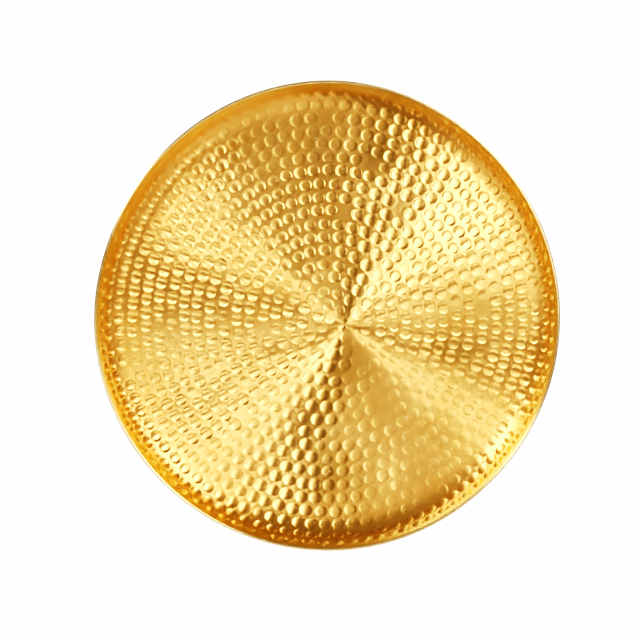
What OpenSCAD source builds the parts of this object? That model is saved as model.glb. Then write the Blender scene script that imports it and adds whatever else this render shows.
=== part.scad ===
// Round hammered serving tray: a dished brass sheet whose edge is rolled over a stiffening wire.
// Millimetres. +Z is up, the origin is the centre of the face that the tray rests on.

/* [Tray] */
// Outside diameter, over the rim bead
tray_d = 400; // [300:5:500]
// Height from the resting face to the top of the rim bead
tray_h = 30; // [26:1:45]

/* [Sheet] */
// Thickness of the brass sheet
sheet_t = 0.8; // [0.6:0.1:1.4]

/* [Wall] */
// Inside radius of the sweep between the floor and the wall
bend_r = 20; // [8:1:22]
// Slope of the wall, measured from the floor
wall_angle = 74; // [62:1:84]

/* [Rim] */
// Diameter of the stiffening wire inside the rim bead
wire_d = 1.2; // [1:0.1:2.5]
// How far the sheet wraps round the wire, in degrees
curl_angle = 282; // [220:2:282]
// Radial play between the wire and the sheet rolled round it
wire_play = 0.02; // [0.02:0.01:0.1]
// Gap between the two butted ends of the wire
wire_gap = 0.8; // [0.2:0.1:3]

/* [Hidden] */
$fn = 96;

brass = [0.86, 0.62, 0.22];
wire_brass = [0.72, 0.55, 0.26];

// Section of the bead: outer and inner radius of the rolled sheet
curl_ri = wire_d / 2 + wire_play;
bead_r = curl_ri + sheet_t;

// Centre of the wire in the section plane (x = distance from the tray's axis, y = height)
wire_x = tray_d / 2 - bead_r;
wire_z = tray_h - bead_r;

// Unit vector out of the wall's inner face, towards the tray's inside
nx = -sin(wall_angle);
nz = cos(wall_angle);

// Centre of the sweep between floor and wall: it leaves the wall's inner face tangent to the bead's outside
bend_z = sheet_t + bend_r;
bend_x = (bead_r + bend_r + nx * wire_x + nz * wire_z - nz * bend_z) / nx;

// Points on an arc about [cx, cz], from angle a0 to a1, both ends included
function arc(cx, cz, r, a0, a1, steps) =
    [for (i = [0 : steps]) [cx + r * cos(a0 + (a1 - a0) * i / steps), cz + r * sin(a0 + (a1 - a0) * i / steps)]];

sweep_steps = ceil(wall_angle / 3);
curl_steps = ceil(curl_angle / 12);
curl_start = wall_angle + 90;
curl_end = curl_start - curl_angle;

// The pan's section, walked once round: under the floor, up the wall's outside, round the
// wire, back over the outside of the curl, and down the wall's inside to the floor again
module pan_section() {
    polygon(concat(
        [[0, 0]],
        arc(bend_x, bend_z, bend_r + sheet_t, -90, wall_angle - 90, sweep_steps),
        arc(wire_x, wire_z, curl_ri, curl_start, curl_end, curl_steps),
        arc(wire_x, wire_z, bead_r, curl_end, curl_start, curl_steps),
        arc(bend_x, bend_z, bend_r, wall_angle - 90, -90, sweep_steps),
        [[0, sheet_t]]
    ));
}

// One sheet of brass, dished and then rolled outward at its edge
module pan() {
    color(brass)
        rotate_extrude($fn = 180) pan_section();
}

// Round wire bent into a hoop, its two ends butted inside the bead
module rim_wire() {
    gap_deg = wire_gap / wire_x * 180 / PI;
    color(wire_brass)
        rotate([0, 0, gap_deg / 2])
            rotate_extrude(angle = 360 - gap_deg, $fn = 180)
                translate([wire_x, wire_z]) circle(d = wire_d, $fn = 48);
}

pan();
rim_wire();
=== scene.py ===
import math
import random

import bpy
import numpy as np
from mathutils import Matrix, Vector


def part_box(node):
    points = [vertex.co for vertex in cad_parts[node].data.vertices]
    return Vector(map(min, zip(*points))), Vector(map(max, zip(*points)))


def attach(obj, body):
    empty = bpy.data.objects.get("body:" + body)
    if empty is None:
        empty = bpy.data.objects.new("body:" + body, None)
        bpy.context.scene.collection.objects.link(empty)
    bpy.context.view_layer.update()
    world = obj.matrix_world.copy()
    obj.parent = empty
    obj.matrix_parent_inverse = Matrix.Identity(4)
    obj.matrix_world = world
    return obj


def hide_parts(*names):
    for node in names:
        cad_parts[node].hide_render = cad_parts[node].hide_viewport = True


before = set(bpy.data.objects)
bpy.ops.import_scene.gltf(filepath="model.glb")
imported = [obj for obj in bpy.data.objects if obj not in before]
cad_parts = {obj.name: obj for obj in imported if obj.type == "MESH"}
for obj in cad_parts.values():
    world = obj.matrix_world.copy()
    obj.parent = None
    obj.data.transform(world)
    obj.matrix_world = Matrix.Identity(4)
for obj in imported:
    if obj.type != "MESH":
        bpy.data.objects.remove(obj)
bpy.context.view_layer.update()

# ---------------------------------------------------------------- sizes, in millimetres
pan_low, pan_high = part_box("pan")
TRAY_R = round(pan_high.x * 1000)          # outside radius, over the bead
TRAY_H = round(pan_high.z * 1000, 1)       # height to the top of the bead
SHEET = 0.8                                # thickness of the brass sheet
BEND_R = 20.0                              # inside radius of the sweep
WALL = math.radians(74)                    # slope of the wall
WIRE_R = 0.6                               # rim wire
CURL_RI = WIRE_R + 0.02                    # inside of the sheet rolled over the wire
BEAD_R = CURL_RI + SHEET
CURL = math.radians(282)
LIFT = 2.0                                # how far the marks stand proud below the floor
MM = 0.001

WX, WZ = TRAY_R - BEAD_R, TRAY_H - BEAD_R  # centre of the wire
NX, NZ = -math.sin(WALL), math.cos(WALL)
BZ = SHEET + BEND_R
BX = (BEAD_R + BEND_R + NX * WX + NZ * WZ - NZ * BZ) / NX
S1 = BX                                    # where the floor ends, measured along the sheet
S2 = S1 + BEND_R * WALL                    # where the sweep ends
SWEEP_X, SWEEP_Z = BX + BEND_R * math.sin(WALL), BZ - BEND_R * math.cos(WALL)
S3 = S2 + math.hypot(WX + BEAD_R * NX - SWEEP_X, WZ + BEAD_R * NZ - SWEEP_Z)   # where the wall meets the bead

rng = random.Random(41)


def smooth(t):
    t = np.clip(t, 0.0, 1.0)
    return t * t * (3 - 2 * t)


def profile(s):
    """Radius, height and the normal towards the inside, at a length s along the inner face from the centre."""
    s = np.asarray(s, float)
    u = np.clip((s - S1) / BEND_R, 0, WALL)
    x = np.minimum(s, S1) + BEND_R * np.sin(u) + np.maximum(s - S2, 0) * math.cos(WALL)
    z = BZ - BEND_R * np.cos(u) + np.maximum(s - S2, 0) * math.sin(WALL)
    return x, z, -np.sin(u), np.cos(u)


# ---------------------------------------------------------------- hand-made unevenness
def rim_wobble(phi):
    """How far the rim is out of round."""
    return (-1.2 * np.cos(2 * phi) + 0.4 * np.sin(2 * phi) - 0.55 * np.sin(3 * phi)
            + 0.45 * np.cos(4 * phi) + 0.2 * np.sin(4 * phi) - 0.15 * np.sin(7 * phi + 1.1))


def rim_heave(phi):
    """How far the rim rises and falls."""
    return 0.28 * np.cos(2 * phi + 0.8) + 0.16 * np.cos(3 * phi - 1.9) + 0.07 * np.cos(8 * phi + 0.3) - 0.45


WAVES = [(rng.uniform(0, math.tau), rng.uniform(36, 120), rng.uniform(0, math.tau)) for _ in range(26)]


def buckle(x, y):
    """The slow unevenness that hammering leaves in the floor."""
    total = np.zeros_like(x)
    for a, wave, p in WAVES:
        k = math.tau / wave
        total += (wave / 120) * np.cos(k * (x * math.cos(a) + y * math.sin(a)) + p)
    return 0.14 * total * (1 + 1.7 * np.exp(-(x * x + y * y) / 55 ** 2))


def place(x, z, phi, nx, nz, s):
    """Puts a point of the profile in space with the tray's unevenness. x, z: profile; s: length along the sheet."""
    up = np.clip(s / S3, 0, None)
    r = x + rim_wobble(phi) * np.clip(x / TRAY_R, 0, 1.1) ** 4
    px, py = r * np.cos(phi), r * np.sin(phi)
    flat = 1 - smooth((s - S1 + 26) / 40)
    pz = z + LIFT * (1 - smooth((s - S1) / (S3 - S1))) + rim_heave(phi) * smooth((s - S1) / (S3 - S1))
    pz = pz + buckle(px, py) * flat
    return px, py, pz


# ---------------------------------------------------------------- hammer marks
MARK_PITCH = 11.36      # from one ring of marks to the next
MARK_STEP = 12.25       # from one mark to the next along a ring
marks = []              # s, phi, half length along the ring, half width across it, depth, softness of the edge


def lay_marks():
    drift = [0.0] * 6
    for ring in range(0, 19):
        s0 = MARK_PITCH * ring
        rho = float(profile(s0)[0])
        drift = [0.72 * d + rng.gauss(0, 0.34) for d in drift]
        near = max(0.0, 1 - s0 / 75)                       # the start of the work, where the rings are still ragged
        count = 1 if ring == 0 else round(math.tau * rho / MARK_STEP)
        gaps = [1 + rng.gauss(0, 0.055 + 0.06 * near) for _ in range(count)]
        scale = math.tau / sum(gaps)
        phi = rng.uniform(0, math.tau)
        for i in range(count):
            phi += gaps[i] * scale
            swing = (drift[0] * math.cos(phi) + drift[1] * math.sin(phi) + 0.8 * drift[2] * math.cos(2 * phi)
                     + 0.8 * drift[3] * math.sin(2 * phi) + 0.5 * drift[4] * math.cos(3 * phi) + 0.5 * drift[5] * math.sin(3 * phi))
            s = s0 + swing * min(1, s0 / 40) * (0.45 if ring > 14 else 1) + rng.gauss(0, 0.34 + 0.7 * near)
            x, y = s * math.cos(phi) + 3.4 * near, s * math.sin(phi) - 2.6 * near
            if s0 < 75:
                s, angle = math.hypot(x, y), math.atan2(y, x)
            else:
                angle = phi
            blow = rng.gauss(1, 0.13)
            chance = rng.random()
            if chance < 0.012:
                continue
            if chance < 0.075:
                blow *= rng.uniform(0.3, 0.55)
            depth = 0.50 * max(0.25, blow)
            size = max(0.3, blow) ** 0.22
            if ring == 18:
                depth *= 0.3 + 0.5 * float(smooth((math.cos(angle + math.radians(95)) + 0.35) / 0.7))
            across = (4.75 if ring < 17 else 4.6) * size * rng.gauss(1, 0.03)
            along = (4.95 if ring < 17 else 4.9) * size * rng.gauss(1, 0.03)
            # The hammer's face was ground again on the way: rounder marks on both sides and below, flatter and fainter ones above.
            left = float(smooth((math.cos(angle - math.radians(190)) + 0.3) / 1.1))
            below = float(smooth((math.cos(angle - math.radians(275)) - 0.2) / 0.7))
            right = float(smooth((math.cos(angle - math.radians(5)) - 0.1) / 0.8))
            soft = min(0.95, max(0.0, rng.gauss(0.05 + 0.8 * left + 0.5 * right + 0.35 * below, 0.12)))
            top = float(smooth((math.cos(angle - math.radians(95)) - 0.84) / 0.12) * smooth((s0 - 118) / 25))
            depth *= (1 + 0.6 * left - 0.6 * below) * (1 - 0.65 * top)
            if ring > 14:
                soft = max(soft, (0.35, 0.6, 0.9, 1.0)[ring - 15])
                depth *= (1, 1, 0.95, 0.95)[ring - 15]
            marks.append((s, angle % math.tau, along, across, depth, soft))


lay_marks()


def mark_frame():
    """The marks as arrays, with each one's centre and directions in the flat plan of the sheet."""
    t = np.array(marks)
    ms, mp = t[:, 0], t[:, 1]
    along = t[:, 2] * np.maximum(ms, 1) / np.maximum(profile(ms)[0], 1)
    cx, cy = ms * np.cos(mp), ms * np.sin(mp)
    return cx, cy, np.cos(mp), np.sin(mp), along, t[:, 3], t[:, 4], t[:, 5]


MX, MY, MC, MS, MA, MB, MD, MK = mark_frame()


def bowl(x, m):
    """The shape of mark m, from 1 in its middle to 0 at its edge: shallow inside and steep at the edge."""
    inner = 0.05 + 0.7 * MK[m]
    return 1 - inner * x ** 2 - (1 - inner) * x ** (8.0 - 5.2 * MK[m])


def off_mark(px, py, m, grow):
    """How far points lie from the centre of mark m, where 1 is its edge."""
    dx, dy = px - MX[m], py - MY[m]
    return np.sqrt(((dx * MC[m] + dy * MS[m]) / (MB[m] + grow)) ** 2 + ((-dx * MS[m] + dy * MC[m]) / (MA[m] + grow)) ** 2)


def depth_at(px, py, grow, sigma, lip, shape):
    """How deep the sheet is struck at points of its flat plan."""
    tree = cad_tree(px, py)
    verts, which = [], []
    for m in range(len(MX)):
        found = [i for _, i, _ in tree.find_range((MX[m], MY[m], 0), 1.5 * max(MA[m], MB[m]) + grow)]
        verts.append(np.array(found, int))
        which.append(np.full(len(found), m))
    verts, which = np.concatenate(verts), np.concatenate(which)
    x = off_mark(px[verts], py[verts], which, grow)
    total, ring = np.ones(len(px)), np.zeros(len(px))
    np.add.at(total, verts, np.exp(np.clip(MD[which] * shape(x, which) / sigma, -60, 60)))
    np.maximum.at(ring, verts, MD[which] / 0.55 * np.exp(-((x - 1.14) / 0.12) ** 2))
    depth = sigma * np.log(total)
    return depth - lip * ring * (1 - np.clip(depth / 0.07, 0, 1))


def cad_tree(px, py):
    from mathutils.kdtree import KDTree
    tree = KDTree(len(px))
    for i, (a, b) in enumerate(zip(px.tolist(), py.tolist())):
        tree.insert((a, b, 0), i)
    tree.balance()
    return tree


# ---------------------------------------------------------------- the hammered pan
AROUND = 720                               # vertices around the bead


def plan_points(rings, grow, fill, near, edge_rows):
    """Points in the flat plan of the sheet: rings of them on every mark, an even filling between, and the edge."""
    neighbours = []
    for m in range(len(MX)):
        d = np.hypot(MX - MX[m], MY - MY[m])
        neighbours.append(np.nonzero((d < 15) & (d > 0))[0])
    taken = {}
    out = []

    def room(x, y, gap):
        cx, cy = int(math.floor(x)), int(math.floor(y))
        reach = int(gap) + 1
        for i in range(cx - reach, cx + reach + 1):
            for j in range(cy - reach, cy + reach + 1):
                for (a, b) in taken.get((i, j), ()):
                    if (a - x) ** 2 + (b - y) ** 2 < gap * gap:
                        return False
        return True

    def keep(x, y):
        taken.setdefault((int(math.floor(x)), int(math.floor(y))), []).append((x, y))
        out.append((x, y))

    limit = S3
    for row, (s, shift) in enumerate(edge_rows):
        for i in range(AROUND):
            a = (i + shift) * math.tau / AROUND
            keep(s * math.cos(a), s * math.sin(a))
        limit = min(limit, s)
    limit -= 0.6
    for x, count, gap in rings:
        for m in range(len(MX)):
            t = (np.arange(count) + 0.5 * (m % 2)) * math.tau / count if count > 1 else np.zeros(1)
            u, v = (MB[m] + grow) * x * np.cos(t), (MA[m] + grow) * x * np.sin(t)
            px, py = MX[m] + u * MC[m] - v * MS[m], MY[m] + u * MS[m] + v * MC[m]
            mine = np.full(len(px), MD[m] * bowl(x, m))
            ok = np.hypot(px, py) < limit
            for other in neighbours[m]:
                xo = off_mark(px, py, other, grow)
                ok &= ~((MD[other] * bowl(np.minimum(xo, 3), other) > np.maximum(mine, -0.02) + 0.015))
            for a, b in zip(px[ok].tolist(), py[ok].tolist()):
                if room(a, b, gap):
                    keep(a, b)
    # An even filling between the marks.
    size = int(S3 / fill) + 2
    jitter = random.Random(7)
    for j in range(-size * 2, size * 2):
        for i in range(-size, size + 1):
            a = (i + 0.5 * (j % 2)) * fill + jitter.uniform(-0.12, 0.12) * fill
            b = j * fill * 0.866 + jitter.uniform(-0.12, 0.12) * fill
            if a * a + b * b < (limit - 0.4) ** 2 and room(a, b, near):
                keep(a, b)
    return np.array(out)


def triangles(points):
    from mathutils.geometry import delaunay_2d_cdt
    verts, _, faces, origin, _, _ = delaunay_2d_cdt([Vector((a, b)) for a, b in points.tolist()], [], [], 0, 1e-6, True)
    index = np.array([o[0] for o in origin])
    tri = index[np.array(faces)]
    a, b, c = (points[tri[:, i]] for i in range(3))
    area = (b[:, 0] - a[:, 0]) * (c[:, 1] - a[:, 1]) - (b[:, 1] - a[:, 1]) * (c[:, 0] - a[:, 0])
    tri[area < 0] = tri[area < 0][:, ::-1]
    return tri


def build_pan():
    # The inner face.
    edge = [(S3, 0), (S3 - 0.9, 0.5), (S3 - 2.0, 0), (S3 - 3.4, 0.5)]
    points = plan_points(((1.0, 24, 0.40), (1.09, 22, 0.40), (0.93, 22, 0.28), (0.85, 20, 0.35), (0.75, 16, 0.4), (1.22, 20, 0.6),
                          (0.6, 11, 0.5), (0.32, 6, 0.5), (0, 1, 0.5)), 0.0, 1.6, 0.95, edge)
    n_top = len(points)
    tri_top = triangles(points)
    px, py = points[:, 0], points[:, 1]
    s, phi = np.hypot(px, py), np.arctan2(py, px)
    depth = depth_at(px, py, 0.0, 0.015, 0.13, bowl) * (1 - smooth((s - (S3 - 4)) / 3))
    x, z, nx, nz = profile(s)
    top = np.stack(place(x - depth * nx, z - depth * nz, phi, nx, nz, s), 1)

    # The outer face, where the marks stand out as softer bumps.
    edge = [(S3, 0), (S3 - 2.4, 0.5)]
    points = plan_points(((0.85, 12, 0.8), (1.15, 14, 0.9), (0.5, 7, 0.9), (0, 1, 0.9)), 0.4, 2.6, 1.7, edge)
    n_low = len(points)
    tri_low = triangles(points)
    qx, qy = points[:, 0], points[:, 1]
    sb, pb = np.hypot(qx, qy), np.arctan2(qy, qx)
    low_depth = depth_at(qx, qy, 0.4, 0.07, 0.0, lambda x, m: 1 - x ** 2.6) * (1 - smooth((sb - (S3 - 4)) / 3))
    x, z, nx, nz = profile(sb)
    under = SHEET + low_depth
    low = np.stack(place(x - under * nx, z - under * nz, pb, nx, nz, sb), 1)

    # The bead: the sheet rolled over the wire.
    m = AROUND
    i = np.arange(m)
    j = (i + 1) % m
    ang = i * math.tau / m
    start = WALL + math.pi / 2
    roll = CURL + math.radians(4) * np.sin(3 * ang + 0.7) + math.radians(3) * np.sin(11 * ang + 2.0) - math.radians(7)
    fat = 1 + 0.03 * np.sin(5 * ang + 1.3) + 0.02 * np.sin(17 * ang)

    def bead_ring(t, radius, swell):
        a = start - t * roll
        x = WX + radius * swell * np.cos(a)
        z = WZ + radius * swell * np.sin(a)
        return np.stack(place(x, z, ang, 0, 0, np.full(m, S3)), 1)

    outer_steps, inner_steps = 17, 9
    rings = [bead_ring(k / outer_steps, BEAD_R, 1 + (fat - 1) * min(1, k / 3)) for k in range(1, outer_steps + 1)]
    middle = [bead_ring(1.012, (BEAD_R + CURL_RI) / 2, np.ones(m))]
    back = [bead_ring(1 - k / inner_steps, CURL_RI, np.ones(m)) for k in range(0, inner_steps)]
    bead = np.concatenate(rings + middle + back)
    first, total = n_top + n_low, len(rings) + 1 + len(back)
    starts = [0] + [first + r * m for r in range(total)] + [n_top]
    faces = [tri_top]
    for p, q in zip(starts[:-1], starts[1:]):
        faces.append(np.stack([p + i, q + i, q + j], 1))
        faces.append(np.stack([p + i, q + j, p + j], 1))
    faces.append(tri_low[:, ::-1] + n_top)

    co = np.concatenate([top, low, bead]) * MM
    hit = np.concatenate([np.clip(depth / 0.6, 0, 1.5), np.clip(low_depth / 0.6, 0, 1.5), np.zeros(len(bead))])
    where = np.concatenate([s / S3, sb / S3, np.full(len(bead), 1.05)])
    return co, np.concatenate(faces), hit, where


def mesh_object(name, co, tri, attributes=()):
    mesh = bpy.data.meshes.new(name)
    mesh.vertices.add(len(co))
    mesh.vertices.foreach_set("co", co.astype(np.float32).ravel())
    mesh.loops.add(3 * len(tri))
    mesh.loops.foreach_set("vertex_index", tri.astype(np.int32).ravel())
    mesh.polygons.add(len(tri))
    mesh.polygons.foreach_set("loop_start", np.arange(0, 3 * len(tri), 3, dtype=np.int32))
    mesh.update(calc_edges=True)
    mesh.validate()
    mesh.polygons.foreach_set("use_smooth", np.ones(len(mesh.polygons), bool))
    for label, values in attributes:
        a = mesh.attributes.new(label, "FLOAT", "POINT")
        a.data.foreach_set("value", values.astype(np.float32))
    mesh.update()
    obj = bpy.data.objects.new(name, mesh)
    bpy.context.scene.collection.objects.link(obj)
    return obj


co, tri, hit, where = build_pan()
pan = mesh_object("hammered_pan", co, tri, (("struck", hit), ("reach", where)))


# ---------------------------------------------------------------- the rim wire
def build_wire():
    sides, steps = 14, 720
    gap = 0.8 / WX
    ang = np.linspace(gap / 2, math.tau - gap / 2, steps)
    # Both ends are filed to a small chamfer.
    ends = [(0.0, 0.78), (0.12 / WX, 1.0)]
    stations = [(ang[0] + d, f) for d, f in ends] + [(a, 1.0) for a in ang[2:-2]] + [(ang[-1] - d, f) for d, f in reversed(ends)]
    rings = []
    for a, f in stations:
        b = np.arange(sides) * math.tau / sides
        r = WIRE_R * f
        x, z = WX + r * np.cos(b), WZ + r * np.sin(b)
        phi = np.full(sides, a)
        rings.append(np.stack(place(x, z, phi, 0, 0, np.full(sides, S3)), 1))
    co = np.concatenate(rings)
    n = len(stations)
    i = np.arange(sides)
    j = (i + 1) % sides
    faces = []
    for r in range(n - 1):
        p, q = r * sides, (r + 1) * sides
        faces.append(np.stack([p + i, p + j, q + j], 1))
        faces.append(np.stack([p + i, q + j, q + i], 1))
    caps = np.stack([co[:sides].mean(0), co[-sides:].mean(0)])
    c0, c1 = len(co), len(co) + 1
    faces.append(np.stack([np.full(sides, c0), j, i], 1))
    p = (n - 1) * sides
    faces.append(np.stack([np.full(sides, c1), p + i, p + j], 1))
    return np.concatenate([co, caps]) * MM, np.concatenate(faces)


wco, wtri = build_wire()
wire = mesh_object("rim_wire_hoop", wco, wtri)

for obj in (pan, wire):
    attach(obj, "root")
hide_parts("pan")
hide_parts("rim_wire")


# ---------------------------------------------------------------- materials
class Nodes:
    """Short names for building a node tree."""

    def __init__(self, name):
        self.mat = bpy.data.materials.new(name)
        self.mat.use_nodes = True
        self.tree = self.mat.node_tree
        self.tree.nodes.clear()

    def add(self, kind, **values):
        node = self.tree.nodes.new(kind)
        for key, value in values.items():
            setattr(node, key, value)
        return node

    def link(self, a, b):
        self.tree.links.new(a, b)

    def put(self, socket, value):
        if isinstance(value, bpy.types.NodeSocket):
            self.link(value, socket)
        else:
            socket.default_value = value

    def math(self, op, a, b=None, c=None, clamp=False):
        node = self.add("ShaderNodeMath", operation=op, use_clamp=clamp)
        self.put(node.inputs[0], a)
        if b is not None:
            self.put(node.inputs[1], b)
        if c is not None:
            self.put(node.inputs[2], c)
        return node.outputs[0]

    def ramp(self, value, low, high, to_low=0.0, to_high=1.0, smoother=False):
        node = self.add("ShaderNodeMapRange", clamp=True)
        if smoother:
            node.interpolation_type = "SMOOTHSTEP"
        self.put(node.inputs["Value"], value)
        self.put(node.inputs["From Min"], low)
        self.put(node.inputs["From Max"], high)
        self.put(node.inputs["To Min"], to_low)
        self.put(node.inputs["To Max"], to_high)
        return node.outputs["Result"]

    def vec(self, x, y, z):
        node = self.add("ShaderNodeCombineXYZ")
        for socket, value in zip(node.inputs, (x, y, z)):
            self.put(socket, value)
        return node.outputs[0]

    def noise(self, vector, scale, detail=2.0, rough=0.5, distortion=0.0):
        node = self.add("ShaderNodeTexNoise")
        node.noise_dimensions = "3D"
        self.put(node.inputs["Vector"], vector)
        node.inputs["Scale"].default_value = scale
        node.inputs["Detail"].default_value = detail
        node.inputs["Roughness"].default_value = rough
        node.inputs["Distortion"].default_value = distortion
        return node.outputs["Fac"]

    def mix(self, factor, a, b):
        node = self.add("ShaderNodeMix", data_type="RGBA")
        self.put(node.inputs["Factor"], factor)
        for socket, value in ((node.inputs["A"], a), (node.inputs["B"], b)):
            if node.inputs.find(socket.name) is None:
                pass
        sockets = [i for i in node.inputs if i.type == "RGBA"]
        self.put(sockets[0], a)
        self.put(sockets[1], b)
        return [o for o in node.outputs if o.type == "RGBA"][0]


BRUSH_X, BRUSH_Y = 0.0155, -0.0075     # the centre of the circular brushing


def brass_sheet():
    n = Nodes("hammered_brass")
    out = n.add("ShaderNodeOutputMaterial")
    bsdf = n.add("ShaderNodeBsdfPrincipled")
    n.link(bsdf.outputs[0], out.inputs[0])
    coord = n.add("ShaderNodeTexCoord").outputs["Object"]
    split = n.add("ShaderNodeSeparateXYZ")
    n.link(coord, split.inputs[0])
    x, y, z = split.outputs
    dx, dy = n.math("SUBTRACT", x, BRUSH_X), n.math("SUBTRACT", y, BRUSH_Y)
    r = n.math("SQRT", n.math("ADD", n.math("MULTIPLY", dx, dx), n.math("MULTIPLY", dy, dy)))
    safe = n.math("MAXIMUM", r, 0.0005)
    cos, sin = n.math("DIVIDE", dx, safe), n.math("DIVIDE", dy, safe)

    struck = n.add("ShaderNodeAttribute", attribute_name="struck").outputs["Fac"]
    reach = n.add("ShaderNodeAttribute", attribute_name="reach").outputs["Fac"]

    # Circular brushing: streaks that vary fast across the radius and slowly round it.
    fine = n.noise(n.vec(n.math("MULTIPLY", r, 2600), n.math("MULTIPLY", cos, 5), n.math("MULTIPLY", sin, 5)), 1.0, 3.0, 0.6)
    broad = n.noise(n.vec(n.math("MULTIPLY", r, 620), n.math("MULTIPLY", cos, 3), n.math("MULTIPLY", sin, 3)), 1.0, 2.0, 0.55)
    # Scratches from use, in no order.
    scratch = n.noise(n.vec(n.math("MULTIPLY", n.math("ADD", x, y), 900), n.math("MULTIPLY", n.math("SUBTRACT", x, y), 60), z), 1.0, 2.0, 0.5)
    blotch = n.noise(coord, 14.0, 3.0, 0.55, 0.4)
    cloud = n.noise(coord, 55.0, 3.0, 0.6)
    grain = n.noise(coord, 1400.0, 2.0, 0.6)

    # Colour: warm yellow brass, browner where it has tarnished, paler on the rim bead, partly from wear and partly a
    # painted highlight for the light its rounded top catches.
    tarnish = n.ramp(n.math("ADD", n.math("MULTIPLY", blotch, 0.65), n.math("MULTIPLY", cloud, 0.35)), 0.42, 0.68, smoother=True)
    gold, brown, pale = (0.95, 0.61, 0.22, 1), (0.86, 0.51, 0.16, 1), (0.97, 0.74, 0.36, 1)
    tone = n.mix(n.math("MULTIPLY", tarnish, 0.45), gold, brown)
    tone = n.mix(n.ramp(fine, 0.35, 0.7, 0.0, 0.16), tone, brown)
    tone = n.mix(n.ramp(reach, 0.9, 0.96), tone, (0.95, 0.67, 0.25, 1))
    # The rim bead painted paler: partly wear, partly a painted highlight standing in for the bright line its rounded
    # top reflects.
    wear_and_painted_highlight = n.math("MULTIPLY", n.ramp(reach, 0.997, 1.02), n.ramp(cloud, 0.2, 0.7, 0.6, 1.0))
    tone = n.mix(wear_and_painted_highlight, tone, pale)
    # Tiny pits in the sheet; their pale colour is a painted glint, their dip is a real bump.
    pit_and_painted_glint = n.ramp(n.noise(coord, 640.0, 1.0, 0.5), 0.715, 0.75)
    tone = n.mix(n.math("MULTIPLY", pit_and_painted_glint, 0.8), tone, (0.98, 0.80, 0.46, 1))
    n.link(tone, bsdf.inputs["Base Color"])
    bsdf.inputs["Metallic"].default_value = 1.0

    rough = n.math("ADD", 0.38, n.math("MULTIPLY", n.math("SUBTRACT", blotch, 0.5), 0.16))
    rough = n.math("ADD", rough, n.math("MULTIPLY", n.math("SUBTRACT", fine, 0.5), 0.18))
    rough = n.math("SUBTRACT", rough, n.math("MULTIPLY", struck, 0.06))
    n.link(n.math("MINIMUM", n.math("MAXIMUM", rough, 0.12), 0.7), bsdf.inputs["Roughness"])
    bsdf.inputs["Anisotropic"].default_value = 1.0
    n.link(n.vec(cos, sin, 0.0), bsdf.inputs["Tangent"])

    height = n.math("ADD", n.math("MULTIPLY", fine, 0.9), n.math("MULTIPLY", broad, 1.6))
    height = n.math("ADD", height, n.math("MULTIPLY", n.ramp(scratch, 0.66, 0.74), 0.5))
    height = n.math("ADD", height, n.math("MULTIPLY", grain, 0.05))
    height = n.math("SUBTRACT", height, n.math("MULTIPLY", pit_and_painted_glint, 3.0))
    bump = n.add("ShaderNodeBump")
    bump.inputs["Strength"].default_value = 1.0
    bump.inputs["Distance"].default_value = 0.000026
    n.link(height, bump.inputs["Height"])
    n.link(bump.outputs[0], bsdf.inputs["Normal"])
    return n.mat


def drawn_wire():
    n = Nodes("drawn_wire")
    out = n.add("ShaderNodeOutputMaterial")
    bsdf = n.add("ShaderNodeBsdfPrincipled")
    n.link(bsdf.outputs[0], out.inputs[0])
    coord = n.add("ShaderNodeTexCoord").outputs["Object"]
    cloud = n.noise(coord, 90.0, 3.0, 0.6)
    grain = n.noise(coord, 2200.0, 2.0, 0.6)
    n.link(n.mix(n.ramp(cloud, 0.35, 0.7), (0.78, 0.58, 0.24, 1), (0.5, 0.33, 0.12, 1)), bsdf.inputs["Base Color"])
    bsdf.inputs["Metallic"].default_value = 1.0
    n.link(n.ramp(cloud, 0.2, 0.8, 0.3, 0.5), bsdf.inputs["Roughness"])
    bump = n.add("ShaderNodeBump")
    bump.inputs["Distance"].default_value = 0.00001
    n.link(grain, bump.inputs["Height"])
    n.link(bump.outputs[0], bsdf.inputs["Normal"])
    return n.mat


pan.data.materials.append(brass_sheet())
wire.data.materials.append(drawn_wire())


# ---------------------------------------------------------------- stage, light and camera
def floor_material():
    n = Nodes("pale_floor")
    out = n.add("ShaderNodeOutputMaterial")
    bsdf = n.add("ShaderNodeBsdfPrincipled")
    n.link(bsdf.outputs[0], out.inputs[0])
    coord = n.add("ShaderNodeTexCoord").outputs["Object"]
    n.link(n.mix(n.noise(coord, 3.0, 2.0), (0.72, 0.72, 0.72, 1), (0.75, 0.75, 0.75, 1)), bsdf.inputs["Base Color"])
    bsdf.inputs["Roughness"].default_value = 0.9
    bsdf.inputs["Specular IOR Level"].default_value = 0.1
    bsdf.inputs["Emission Color"].default_value = (1, 1, 1, 1)
    n.link(n.math("MULTIPLY", n.add("ShaderNodeLightPath").outputs["Is Camera Ray"], 2.2), bsdf.inputs["Emission Strength"])
    return n.mat


bpy.ops.mesh.primitive_plane_add(size=12, location=(0, 0, -0.0002))
floor = bpy.context.object
floor.name = "pale_floor"
floor.data.materials.append(floor_material())

AIM = (0.0, 0.0, WZ * MM)


def softbox(name, azimuth, zenith, distance, width, height, power, colour=(1, 1, 1)):
    light = bpy.data.lights.new(name, "AREA")
    light.shape = "RECTANGLE"
    light.size, light.size_y = width, height
    light.energy = power
    light.color = colour
    obj = bpy.data.objects.new(name, light)
    bpy.context.scene.collection.objects.link(obj)
    a, t = math.radians(azimuth), math.radians(zenith)
    obj.location = (AIM[0] + distance * math.sin(t) * math.cos(a), AIM[1] + distance * math.sin(t) * math.sin(a), AIM[2] + distance * math.cos(t))
    direction = Vector(AIM) - obj.location
    obj.rotation_euler = direction.to_track_quat("-Z", "Y").to_euler()
    obj.visible_camera = False
    return obj


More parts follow.
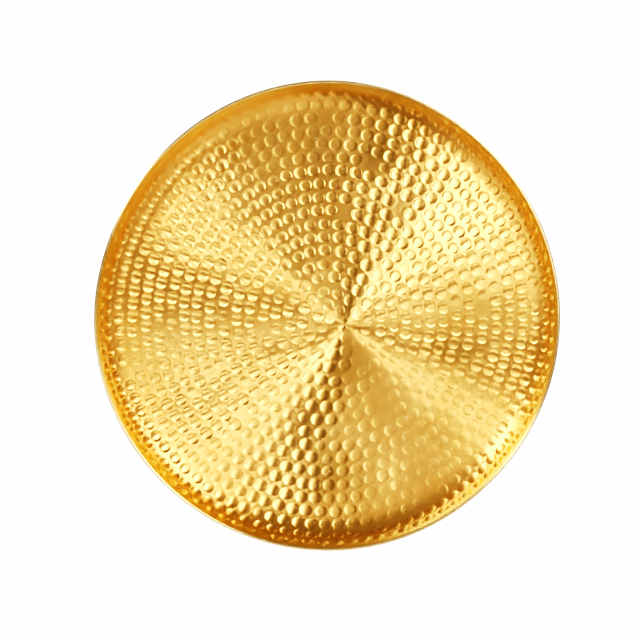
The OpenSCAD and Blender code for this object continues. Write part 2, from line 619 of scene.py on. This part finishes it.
# A studio tent: softboxes round the tray, the weak ones for the rim, each given by its brightness.
for name, azimuth, zenith, distance, width, height, bright in (
        ("key", 41, 33, 1.6, 0.56, 0.56, 20),
        ("side", 150, 52, 1.6, 0.32, 0.50, 36),
        ("front", 293, 28, 1.2, 0.80, 0.24, 8),
        ("left", 226, 40, 1.4, 0.30, 0.36, 4),
        ("west", 203, 34, 1.6, 0.36, 0.30, 13),
        ("overhead", 3, 14, 1.8, 0.34, 0.30, 15),
        ("rim", 290, 74, 1.6, 1.20, 0.32, 3)):
    softbox(name, azimuth, zenith, distance, width, height, bright * math.pi * width * height)

world = bpy.data.worlds.new("studio")
bpy.context.scene.world = world
world.use_nodes = True
world.node_tree.nodes.clear()
w_out = world.node_tree.nodes.new("ShaderNodeOutputWorld")
w_mix = world.node_tree.nodes.new("ShaderNodeMixShader")
w_path = world.node_tree.nodes.new("ShaderNodeLightPath")
w_bg = world.node_tree.nodes.new("ShaderNodeBackground")
w_bg.inputs["Color"].default_value = (1, 1, 1, 1)
w_bg.inputs["Strength"].default_value = 0.60
w_back = world.node_tree.nodes.new("ShaderNodeBackground")       # what is seen behind the tray
w_back.inputs["Color"].default_value = (1, 1, 1, 1)
w_back.inputs["Strength"].default_value = 3.0
world.node_tree.links.new(w_path.outputs["Is Camera Ray"], w_mix.inputs[0])
world.node_tree.links.new(w_bg.outputs[0], w_mix.inputs[1])
world.node_tree.links.new(w_back.outputs[0], w_mix.inputs[2])
world.node_tree.links.new(w_mix.outputs[0], w_out.inputs[0])

TILT, REACH, SCALE = math.radians(4.0), 1.5, 0.8543 * MM
cam_data = bpy.data.cameras.new("camera")
cam_data.sensor_width = 36.0
cam_data.lens = 36.0 * REACH / (640 * SCALE)
cam_data.clip_start, cam_data.clip_end = 0.05, 50
cam = bpy.data.objects.new("camera", cam_data)
bpy.context.scene.collection.objects.link(cam)
target = Vector((-7.2 * SCALE, -1.5 * SCALE, WZ * MM))
cam.location = target + REACH * Vector((0, math.sin(TILT), math.cos(TILT)))
cam.rotation_euler = (-TILT, 0, 0)
bpy.context.scene.camera = cam

view = bpy.context.scene.view_settings
view.view_transform = "Standard"
view.look = "None"

# The contrasty tone curve of a bright catalogue picture.
CONTRAST = 2.7


def tone_curve(v):
    y = v ** CONTRAST / (1 + v ** CONTRAST)
    return min(1.0, y + (1 - y) * float(smooth((v - 1.7) / 1.0)))


view.use_curve_mapping = True
curves = view.curve_mapping
curves.white_level = (3, 3, 3)             # the curve runs from 0 to 3 times white
curve = curves.curves[3]
for i in range(1, 30):
    v = 2.7 * (i / 30) ** 1.3
    curve.points.new(v / 3, tone_curve(v))
curve.points[0].location, curve.points[-1].location = (0, 0), (1, 1)
for v, w in ((0.05, 0.042), (0.1, 0.09), (0.2, 0.21), (0.42, 0.54), (0.7, 0.86)):
    curves.curves[2].points.new(v / 3, w / 3)       # bright yellow turns to cream
curves.update()
